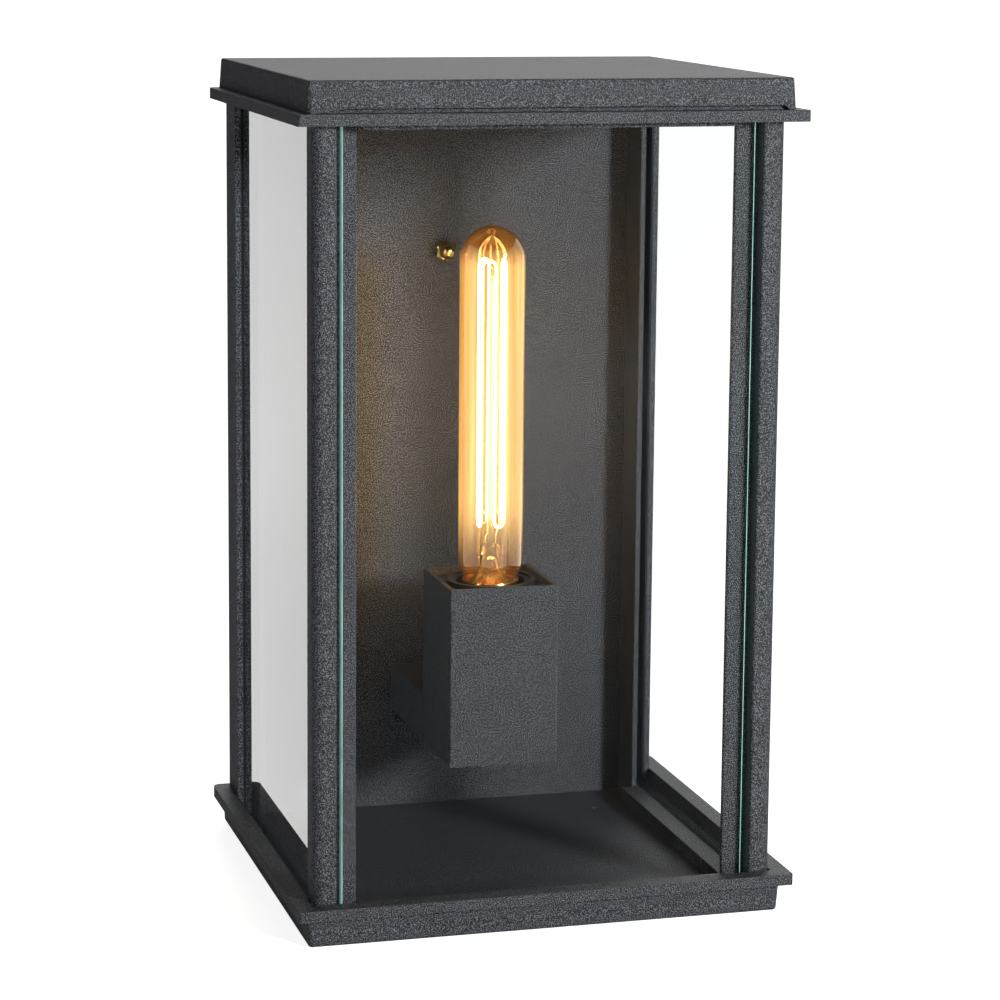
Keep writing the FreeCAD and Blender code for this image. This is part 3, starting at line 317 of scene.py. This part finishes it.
def hot_thread():
    """The lit filament: white hot along its length, with slightly cooler stretches."""
    made, tree, shader = blank("hot_thread", Roughness=0.6, Emission_Strength=28.0)
    place = where(tree)
    heat = noise(tree, place, 60, 2.0, stretch=(1, 1, 0.6))
    glow = ramp(tree, heat, (0.3, (1.0, 0.78, 0.50)), (0.7, (1.0, 0.88, 0.66)))
    feed(tree, shader, Base_Color=glow, Emission_Color=glow)
    return made


def enamel():
    made, tree, shader = blank("lamp_enamel", Coat_Weight=0.6, Coat_Roughness=0.08)
    place = where(tree)
    haze = noise(tree, place, 240, 2.0)
    feed(tree, shader, Base_Color=blend_colours(tree, haze, (0.006, 0.006, 0.007), (0.02, 0.018, 0.018)),
         Roughness=level(tree, haze, 0.12, 0.3))
    bump(tree, shader, haze, 0.0001, 0.3)
    return made


# ---------------------------------------------------------------- mesh helpers

def shown(name, mesh, body, slot, *materials, smooth=True):
    """Turn a bmesh into a piece that rides on a body and takes a slot's finish."""
    bmesh.ops.recalc_face_normals(mesh, faces=mesh.faces[:])
    data = bpy.data.meshes.new(name)
    mesh.to_mesh(data)
    mesh.free()
    piece = bpy.data.objects.new(name, data)
    bpy.context.scene.collection.objects.link(piece)
    for finish in materials:
        data.materials.append(finish)
    if smooth:
        data.shade_smooth()
        data.set_sharp_from_angle(angle=math.radians(38))
    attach(piece, body)
    return piece


def centre_of(node):
    low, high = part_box(node)
    return (low + high) / 2


def ring_radius(radius, sides, angle):
    """How far out a ring reaches: round, or a polygon given by its inner radius."""
    if not sides:
        return radius
    step = math.tau / sides
    return radius / math.cos((angle + step / 2) % step - step / 2)


def turn(mesh, rings, foot, towards=UP, steps=96):
    """Add a closed turned solid: rings of (radius, height) or (radius, height, sides)."""
    facing = towards.to_track_quat("Z", "Y")
    loops = []
    for radius, height, *sides in rings:
        loop = []
        for i in range(steps):
            angle = math.tau * i / steps
            reach = ring_radius(radius, sides[0] if sides else 0, angle)
            spot = Vector((reach * math.cos(angle), reach * math.sin(angle), height))
            loop.append(mesh.verts.new(foot + facing @ spot))
        loops.append(loop)
    for lower, upper in zip(loops, loops[1:] + loops[:1]):
        for i in range(steps):
            j = (i + 1) % steps
            mesh.faces.new((lower[i], lower[j], upper[j], upper[i]))


def arc(radius, start, end, steps, centre_radius=0.0, centre_height=0.0):
    """Ring places along an arc, in degrees above the horizontal."""
    spots = [math.radians(start + (end - start) * i / steps) for i in range(steps + 1)]
    return [(centre_radius + radius * math.cos(a), centre_height + radius * math.sin(a)) for a in spots]


def wire(name, paths, radius, body, finish, smooth=True, meshed=False):
    """Round wires through given points, as one curve or mesh piece with closed ends."""
    data = bpy.data.curves.new(name, "CURVE")
    data.dimensions = "3D"
    data.bevel_depth = radius
    data.bevel_resolution = 4
    data.use_fill_caps = True
    for points in paths:
        spline = data.splines.new("NURBS" if smooth else "POLY")
        spline.points.add(len(points) - 1)
        for knot, spot in zip(spline.points, points):
            knot.co = (*spot, 1)
        if smooth:
            spline.order_u = 3
            spline.use_endpoint_u = True
            spline.resolution_u = 8
    piece = bpy.data.objects.new(name, data)
    if meshed:
        tube = bpy.data.meshes.new_from_object(piece)
        bpy.data.objects.remove(piece)
        piece = bpy.data.objects.new(name, tube)
        tube.shade_smooth()
    bpy.context.scene.collection.objects.link(piece)
    piece.data.materials.append(finish)
    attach(piece, body)
    return piece


# ---------------------------------------------------------------- panes

ARRIS = 0.45 * MM


def pane(node, body, sheet_glass, ground):
    """A sheet of glass with ground green edges and a fine arris all round."""
    low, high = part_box(node)
    size = high - low
    thin = min(range(3), key=lambda axis: size[axis])
    mesh = bmesh.new()
    bmesh.ops.create_cube(mesh, size=1.0)
    for corner in mesh.verts:
        corner.co = Vector(((low + high) / 2)[axis] + corner.co[axis] * size[axis] for axis in range(3))
    bmesh.ops.bevel(mesh, geom=mesh.edges[:], offset=ARRIS, segments=2, affect="EDGES", profile=0.6)
    mesh.normal_update()
    for face in mesh.faces:
        face.material_index = 0 if abs(face.normal[thin]) > 0.999 else 1
    piece = shown(node.replace("glass", "pane"), mesh, body, "clear_glass", sheet_glass, ground,
                  smooth=False)
    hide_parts(node)


# ---------------------------------------------------------------- lamp

GLASS_WALL = 0.9 * MM
THREAD_PITCH = 3.62 * MM
WIRE = 0.35 * MM


def lamp_envelope(finish):
    """The tube: necked in at its foot, domed at its top, one thin wall."""
    low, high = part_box("lamp_glass")
    radius = (high.x - low.x) / 2
    axis = Vector((centre_of("lamp_glass").x, centre_of("lamp_glass").y, 0))
    shoulder = low.z + 10.5 * MM
    neck = radius - 2.6 * MM
    dome = high.z - radius
    outer = [(neck, low.z + 0.2 * MM), (neck, low.z + 3 * MM), (neck + 0.5 * MM, low.z + 4.6 * MM),
             (radius - 0.9 * MM, low.z + 7 * MM), (radius - 0.2 * MM, shoulder - 1.4 * MM),
             (radius, shoulder)]
    outer += [(radius, shoulder + (dome - shoulder) * i / 6) for i in range(1, 6)]
    outer += arc(radius, 0, 89.2, 18, 0.0, dome)
    inner = [(max(r - GLASS_WALL, 0.0001), z) for r, z in outer[:11]]
    inner += arc(radius - GLASS_WALL, 0, 89.2, 18, 0.0, dome)
    mesh = bmesh.new()
    turn(mesh, outer + inner[::-1], axis)
    piece = shown("lamp_envelope", mesh, "lamp", "amber_glass", finish)
    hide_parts("lamp_glass")


def strand_angles(count):
    return [math.tau * i / count + math.pi / 2 for i in range(count)]


def lamp_thread(finish, hooks_finish):
    """The filament looped up and down round its supports, and the hooks that hold it."""
    low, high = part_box("lamp_filament")
    centre = centre_of("lamp_glass")
    circle = (high.y - low.y) / 2 - WIRE
    top, foot = high.z - 2.6 * MM, low.z + 2.6 * MM
    turns = strand_angles(6)
    spots = [Vector((centre.x + circle * math.cos(a), centre.y + circle * math.sin(a), 0)) for a in turns]
    route = []
    for i, spot in enumerate(spots):
        ends = (foot, top) if i % 2 == 0 else (top, foot)
        steps = [ends[0] + (ends[1] - ends[0]) * part for part in (0, 0.04, 0.35, 0.65, 0.96, 1)]
        route += [spot + UP * height for height in steps]
        if i + 1 < len(spots):
            over = 1.6 * MM if ends[1] == top else -1.6 * MM
            route.append((spot + spots[i + 1]) / 2 + UP * (ends[1] + over))
    piece = wire("glowing_thread", [route], 0.55 * MM, "lamp", finish)
    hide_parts("lamp_filament")
    hooks = []
    hub = Vector((centre.x, centre.y, 0))
    for i in range(len(spots) - 1):
        end = (spots[i] + spots[i + 1]) / 2
        height = top + 1.2 * MM if i % 2 == 0 else foot - 1.2 * MM
        start = hub + UP * (height - (4 * MM if i % 2 == 0 else -4 * MM))
        hooks.append([start, start.lerp(end + UP * height, 0.5) - UP * 0.8 * MM, end + UP * height])
    wire("thread_hooks", hooks, 0.16 * MM, "lamp", hooks_finish)
    return spots, foot


def lamp_stem(finish, wire_finish, spots, foot):
    """Flared glass foot with a flat pinch, its centre rod and the two lead-in wires."""
    low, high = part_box("lamp_stem")
    centre = centre_of("lamp_glass")
    hub = Vector((centre.x, centre.y, 0))
    flare = [(11.0, 0.0), (9.8, 1.2), (7.6, 3.0), (5.4, 6.2), (4.4, 10.0), (3.9, 14.0), (3.3, 16.5),
             (2.0, 18.0), (1.2, 19.0), (0.95, 20.0)]
    rings = [(r * MM, low.z + z * MM) for r, z in flare]
    rings += [(0.95 * MM, high.z - 3 * MM), (1.5 * MM, high.z - 1.6 * MM), (0.9 * MM, high.z - 0.3 * MM),
              (0.1 * MM, high.z)]
    hollow = [(0.1, 12.0), (2.4, 11.0), (3.2, 6.4), (6.4, 3.0), (9.6, 0.6)]
    rings += [(0.1 * MM, low.z + 13 * MM)] + [(r * MM, low.z + z * MM) for r, z in hollow]
    mesh = bmesh.new()
    turn(mesh, rings, hub, steps=64)
    pinch_low, pinch_high = low.z + 12 * MM, low.z + 19 * MM
    for corner in mesh.verts:
        if pinch_low < corner.co.z < pinch_high and (corner.co - hub).xy.length > 1.5 * MM:
            corner.co.y = centre.y + (corner.co.y - centre.y) * 0.55
            corner.co.x = centre.x + (corner.co.x - centre.x) * 1.35
    piece = shown("stem_flare", mesh, "lamp", "stem_glass", finish)
    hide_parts("lamp_stem")
    leads = []
    for side, spot in ((-1, spots[0]), (1, spots[-1])):
        leads.append([hub + Vector((side * 6.0 * MM, 0, low.z + 1.5 * MM)),
                      hub + Vector((side * 3.4 * MM, 0, low.z + 8 * MM)),
                      hub + Vector((side * 2.2 * MM, 0, low.z + 15 * MM)),
                      hub + Vector((side * 2.6 * MM, 0, low.z + 21 * MM)),
                      hub.lerp(spot, 0.6) + UP * (foot - 5 * MM),
                      spot + UP * (foot - 0.3 * MM)])
    wire("lead_in_wires", leads, 0.28 * MM, "lamp", wire_finish)
    tubes = [[hub + Vector((side * 3.0 * MM, -2.6 * MM, low.z + 16 * MM)),
              hub + Vector((side * 3.6 * MM, -3.6 * MM, low.z + 10 * MM)),
              hub + Vector((side * 5.6 * MM, -4.2 * MM, low.z + 4 * MM))] for side in (-1, 1)]
    wire("stem_sleeves", tubes, 0.7 * MM, "lamp", finish)


def screw_cap(finish, solder_finish):
    """The cap's rolled thread, a true helix, over a thin closed shell."""
    low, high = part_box("lamp_cap")
    centre = centre_of("lamp_cap")
    crest = (high.x - low.x) / 2
    root = crest - 1.0 * MM
    thread_top = high.z - 5.2 * MM
    steps, rows = 96, 72
    mesh = bmesh.new()

    def circle(height, reach):
        return [mesh.verts.new((centre.x + reach(a) * math.cos(a), centre.y + reach(a) * math.sin(a), height))
                for a in (math.tau * i / steps for i in range(steps))]

    def rolled(height):
        fade = min(1.0, (height - low.z) / (2 * MM), (thread_top - height) / (2 * MM))
        turns = height / THREAD_PITCH
        return lambda a: root + (crest - root) * max(fade, 0) * (
            0.5 + 0.5 * math.cos(math.tau * turns - a))

    loops = [circle(low.z, lambda a: 9.2 * MM)]
    loops += [circle(low.z + (thread_top - low.z) * i / rows, rolled(low.z + (thread_top - low.z) * i / rows))
              for i in range(rows + 1)]
    collar = [(root, thread_top + 0.6 * MM), (root + 0.75 * MM, thread_top + 1.2 * MM),
              (root + 0.9 * MM, thread_top + 1.8 * MM), (root + 0.9 * MM, high.z - 0.5 * MM),
              (root + 0.7 * MM, high.z), (root + 0.2 * MM, high.z), (root, high.z - 0.6 * MM),
              (root - 0.3 * MM, high.z - 2.4 * MM), (root - 0.35 * MM, low.z + 0.5 * MM),
              (8.9 * MM, low.z + 0.4 * MM)]
    loops += [circle(z, lambda a, r=r: r) for r, z in collar]
    for lower, upper in zip(loops, loops[1:] + loops[:1]):
        for i in range(steps):
            j = (i + 1) % steps
            mesh.faces.new((lower[i], lower[j], upper[j], upper[i]))
    piece = shown("screw_cap", mesh, "lamp", "brass", finish)
    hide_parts("lamp_cap")
    low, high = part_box("lamp_tip")
    mesh = bmesh.new()
    radius = (high.x - low.x) / 2
    dome = [(0.1 * MM, low.z), (radius * 0.55, low.z + 0.12 * MM), (radius * 0.85, low.z + 0.45 * MM),
            (radius, low.z + 1.1 * MM), (radius, high.z), (0.1 * MM, high.z)]
    turn(mesh, dome, Vector((centre.x, centre.y, 0)), steps=48)
    piece = shown("solder_tip", mesh, "lamp", "nickel_steel", solder_finish)
    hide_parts("lamp_tip")


# ---------------------------------------------------------------- fasteners and fittings

def solids(node):
    """The box of each separate solid in a CAD node, from low to high."""
    mesh = bmesh.new()
    mesh.from_mesh(frame["nodes"][node].data)
    bmesh.ops.remove_doubles(mesh, verts=mesh.verts[:], dist=1e-6)
    left, boxes = set(mesh.verts), []
    while left:
        front = [left.pop()]
        found = list(front)
        while front:
            for edge in front.pop().link_edges:
                for other in edge.verts:
                    if other in left:
                        left.remove(other)
                        front.append(other)
                        found.append(other)
        boxes.append((Vector(min(v.co[k] for v in found) for k in range(3)),
                      Vector(max(v.co[k] for v in found) for k in range(3))))
    mesh.free()
    return sorted(boxes, key=lambda pair: (round(pair[0].z, 4), round(pair[0].x, 4), round(pair[0].y, 4)))


def axis_foot(low, high, towards):
    """The point under a screw's head top, on its axis, and the screw's length."""
    middle = (low + high) / 2
    axis = max(range(3), key=lambda k: abs(towards[k]))
    foot = middle.copy()
    foot[axis] = low[axis] if towards[axis] > 0 else high[axis]
    return foot, high[axis] - low[axis], axis


def fasteners(name, node, towards, head, shank, slot, finish, sunk=False):
    """Socket-headed screws in place of a CAD group; towards points out of the head."""
    mesh = bmesh.new()
    for low, high in solids(node):
        foot, length, axis = axis_foot(low, high, towards)
        radius = max((high - low)[k] for k in range(3) if k != axis) / 2
        base = length - head
        socket = radius * 0.46
        if sunk:
            dome = [(shank, base), (radius * 0.97, length - 0.12 * MM), (radius * 0.9, length)]
        else:
            dome = [(shank, base), (radius, base), (radius, length - head * 0.45),
                    (radius * 0.94, length - head * 0.2), (radius * 0.78, length - head * 0.04),
                    (radius * 0.66, length)]
        rings = [(0.05 * MM, 0.0), (shank * 0.7, 0.0), (shank, 0.5 * MM)] + dome
        rings += [(socket * 1.12, length), (socket, length - 0.1 * MM, 6),
                  (socket * 0.97, length - head * 0.62, 6), (0.05 * MM, length - head * 0.72)]
        turn(mesh, rings, foot, towards, steps=48)
    piece = shown(name, mesh, "case", slot, finish)
    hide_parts(node)


def acorn_nuts(finish):
    """Domed nuts with chamfered corners on the back plate's studs."""
    mesh = bmesh.new()
    for low, high in solids("acorn_nuts"):
        foot = Vector(((low.x + high.x) / 2, high.y, (low.z + high.z) / 2))
        flats = min(high.x - low.x, high.z - low.z) / 2
        length = high.y - low.y
        hexagon = 0.4 * length
        rings = [(2.1 * MM, 0.0), (flats * 0.93, 0.0), (flats, 0.35 * MM, 6),
                 (flats, hexagon - 0.55 * MM, 6), (flats * 0.97, hexagon - 0.1 * MM),
                 (flats * 0.84, hexagon + 0.15 * MM), (flats * 0.8, hexagon + 0.9 * MM)]
        dome_radius = flats * 0.86
        centre_height = length - dome_radius
        rings += arc(dome_radius, -22, 88, 16, 0.0, centre_height)
        rings += [(0.05 * MM, length - 1.2 * MM), (0.05 * MM, 6.2 * MM), (2.1 * MM, 5.6 * MM)]
        turn(mesh, rings, foot, Vector((0, -1, 0)), steps=72)
    piece = shown("domed_nuts", mesh, "case", "brass", finish)
    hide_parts("acorn_nuts")


def contact_coil(finish):
    """The coil under the centre contact: a helix of wire, its turns a little closer at the ends."""
    low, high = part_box("contact_spring")
    centre = centre_of("contact_spring")
    gauge = 0.32 * MM
    closing = 0.035
    reach = (high.x - low.x) / 2 - gauge
    turns, per_turn = 7, 16
    count = turns * per_turn
    rise = high.z - low.z - 2 * gauge
    points = []
    for i in range(count + 1):
        part = i / count
        eased = part - closing * math.sin(math.tau * part)
        angle = math.tau * turns * part
        points.append(Vector((centre.x + reach * math.cos(angle), centre.y + reach * math.sin(angle),
                              low.z + gauge + rise * eased)))
    piece = wire("contact_coil", [points], gauge, "case", finish, meshed=True)
    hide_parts("contact_spring")
    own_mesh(piece)


# ---------------------------------------------------------------- stage

# The camera: place in metres, yaw, pitch and roll in degrees, sensor and lens in millimetres.
EYE_PLACE = (-0.3698, -1.4320, 0.2483)
EYE_TURNS = (15.65, 8.91, 0.49)
SENSOR, LENS, EYE_SHIFT = 36.0, 112.0, -0.1
ROOM_WHITE = 1.1
DIMMEST = 0.04
COOL_WHITE = (0.93, 0.97, 1.0)


def looked_at(tree):
    """One for rays from the eye, straight or off clear glass, and nought for light shed on the lantern."""
    path = add(tree, "ShaderNodeLightPath")
    return add(tree, "ShaderNodeMath", {0: path.outputs["Is Camera Ray"], 1: path.outputs["Is Singular Ray"]},
               operation="MAXIMUM").outputs[0]


def floor():
    """A wide pale table top under the lantern, lifted to near white where it is looked at."""
    made, tree, shader = blank("pale_floor", Roughness=0.7)
    cloud = noise(tree, where(tree), 3, 2.0)
    pale = blend_colours(tree, cloud, (0.86, 0.86, 0.86), (0.90, 0.90, 0.90))
    feed(tree, shader, Base_Color=pale)
    shader.inputs["Emission Color"].default_value = (1, 1, 1, 1)
    feed(tree, shader, Emission_Strength=level(tree, looked_at(tree), 0.03, 0.85))
    mesh = bmesh.new()
    bmesh.ops.create_grid(mesh, x_segments=8, y_segments=8, size=20.0)
    data = bpy.data.meshes.new("floor")
    mesh.to_mesh(data)
    mesh.free()
    data.materials.append(made)
    top = bpy.data.objects.new("floor", data)
    top.location.z = cad_low.z - 0.2 * MM
    bpy.context.scene.collection.objects.link(top)


def studio_sky():
    """A white room to look at. What it sheds is dim, brighter from the front and the back right."""
    world = bpy.data.worlds.new("studio")
    world.use_nodes = True
    tree = world.node_tree
    facing = add(tree, "ShaderNodeSeparateXYZ", {0: add(tree, "ShaderNodeTexCoord").outputs["Generated"]})

    def span(axis, start, end, low, high):
        return add(tree, "ShaderNodeMapRange", {"Value": facing.outputs[axis], "From Min": start,
                                                "From Max": end, "To Min": low, "To Max": high},
                   interpolation_type="SMOOTHSTEP").outputs[0]

    def together(first, second, how):
        return add(tree, "ShaderNodeMath", {0: first, 1: second}, operation=how).outputs[0]

    front = together(span("Y", -0.3, -1.0, 0.0, 0.10), span("X", -0.8, 0.0, 0.3, 1.0), "MULTIPLY")
    back = together(span("Y", 0.3, 0.8, 0.0, 2.0), span("X", -0.08, 0.12, 0.0, 1.0), "MULTIPLY")
    shed = together(together(front, back, "ADD"), DIMMEST, "ADD")
    shown_white = add(tree, "ShaderNodeMix", {0: looked_at(tree), 2: shed, 3: ROOM_WHITE})
    tree.links.new(shown_white.outputs[0], tree.nodes["Background"].inputs["Strength"])
    tree.nodes["Background"].inputs["Color"].default_value = (1, 1, 1, 1)
    bpy.context.scene.world = world


def softbox(name, place, aim, width, height, power, colour=(1, 1, 1)):
    data = bpy.data.lights.new(name, "AREA")
    data.shape = "RECTANGLE"
    data.size, data.size_y = width, height
    data.energy = power
    data.color = colour
    lamp = bpy.data.objects.new(name, data)
    lamp.location = place
    lamp.rotation_mode = "QUATERNION"
    lamp.rotation_quaternion = (Vector(aim) - Vector(place)).to_track_quat("-Z", "Y")
    lamp.visible_camera = False
    bpy.context.scene.collection.objects.link(lamp)


def camera():
    """Far off to the lantern's left and a little above it, on a long lens."""
    yaw, pitch, roll = (math.radians(angle) for angle in EYE_TURNS)
    data = bpy.data.cameras.new("camera")
    data.sensor_width = SENSOR
    data.lens = LENS
    data.shift_y = EYE_SHIFT
    eye = bpy.data.objects.new("camera", data)
    forward = Vector((math.sin(yaw) * math.cos(pitch), math.cos(yaw) * math.cos(pitch), -math.sin(pitch)))
    eye.rotation_mode = "QUATERNION"
    eye.rotation_quaternion = Quaternion(forward, -roll) @ forward.to_track_quat("-Z", "Y")
    eye.location = EYE_PLACE
    bpy.context.scene.collection.objects.link(eye)
    bpy.context.scene.camera = eye


# ---------------------------------------------------------------- build

filament_low, filament_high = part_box("lamp_filament")
FINISHES = {
    "powder_black": powder_coat(),
    "black_screw": plated_steel("black_steel", (0.05, 0.05, 0.052), shine=0.35),
    "zinc_steel": plated_steel("zinc_steel", (0.62, 0.63, 0.65)),
    "nickel_steel": plated_steel("nickel_steel", (0.70, 0.66, 0.58), shine=0.22),
    "brass": polished_brass(),
    "clear_glass": float_glass("side_glass", 0.6),
    "amber_glass": amber_glass(filament_low.z, filament_high.z),
    "stem_glass": stem_glass(),
    "filament": hot_thread(),
    "lamp_enamel": enamel(),
    "black_plastic": moulded("black_plastic", (0.008, 0.008, 0.009), (0.016, 0.016, 0.018)),
    "white_plastic": moulded("white_plastic", (0.72, 0.71, 0.67), (0.82, 0.81, 0.78)),
    "seal_rubber": rubber(),
    "brown_lead": moulded("brown_lead", (0.11, 0.045, 0.02), (0.16, 0.07, 0.03), shine=0.35),
    "blue_lead": moulded("blue_lead", (0.02, 0.10, 0.42), (0.04, 0.15, 0.52), shine=0.35),
    "green_lead": moulded("green_lead", (0.10, 0.32, 0.04), (0.20, 0.42, 0.06), shine=0.35),
}

for part in frame["record"]["subparts"]:
    carried = frame["nodes"][part["node"]]
    for place in carried.material_slots:
        place.material = FINISHES[part["material_slot"]]

LEFT_MIRROR, FRONT_MIRROR = 2.0, 0.12
# the panes' edge finish carries a painted glow
ground_edge = glass_edge()
pane("left_glass", "case", float_glass("left_side_glass", LEFT_MIRROR), ground_edge)
pane("right_glass", "case", FINISHES["clear_glass"], ground_edge)
pane("front_glass", "front_pane", float_glass("front_glass_coated", FRONT_MIRROR), ground_edge)

lamp_envelope(FINISHES["amber_glass"])
strands, thread_foot = lamp_thread(FINISHES["filament"], FINISHES["nickel_steel"])
lamp_stem(FINISHES["stem_glass"], FINISHES["nickel_steel"], strands, thread_foot)
screw_cap(FINISHES["brass"], FINISHES["nickel_steel"])

down, forward_out = Vector((0, 0, -1)), Vector((0, -1, 0))
zinc = FINISHES["zinc_steel"]
fasteners("tray_screws", "base_post_screws", down, 1.9 * MM, 1.65 * MM, "zinc_steel", zinc)
fasteners("roof_screws", "roof_post_screws", UP, 1.6 * MM, 1.65 * MM, "zinc_steel", zinc, sunk=True)
fasteners("plate_screws", "back_plate_screws", -forward_out, 1.8 * MM, 1.45 * MM, "zinc_steel", zinc)
fasteners("bracket_arm_screws", "arm_screws", forward_out, 1.9 * MM, 1.5 * MM, "black_screw",
          FINISHES["black_screw"])
acorn_nuts(FINISHES["brass"])
contact_coil(FINISHES["nickel_steel"])

floor()
studio_sky()
middle = (cad_low + cad_high) / 2
softbox("key", (1.0, -1.9, 0.5), middle, 0.3, 0.3, 54, COOL_WHITE)
softbox("left_strip", (-1.3, -0.75, 0.2), middle, 0.08, 1.2, 4)
camera()
bpy.context.scene.view_settings.view_transform = "Standard"
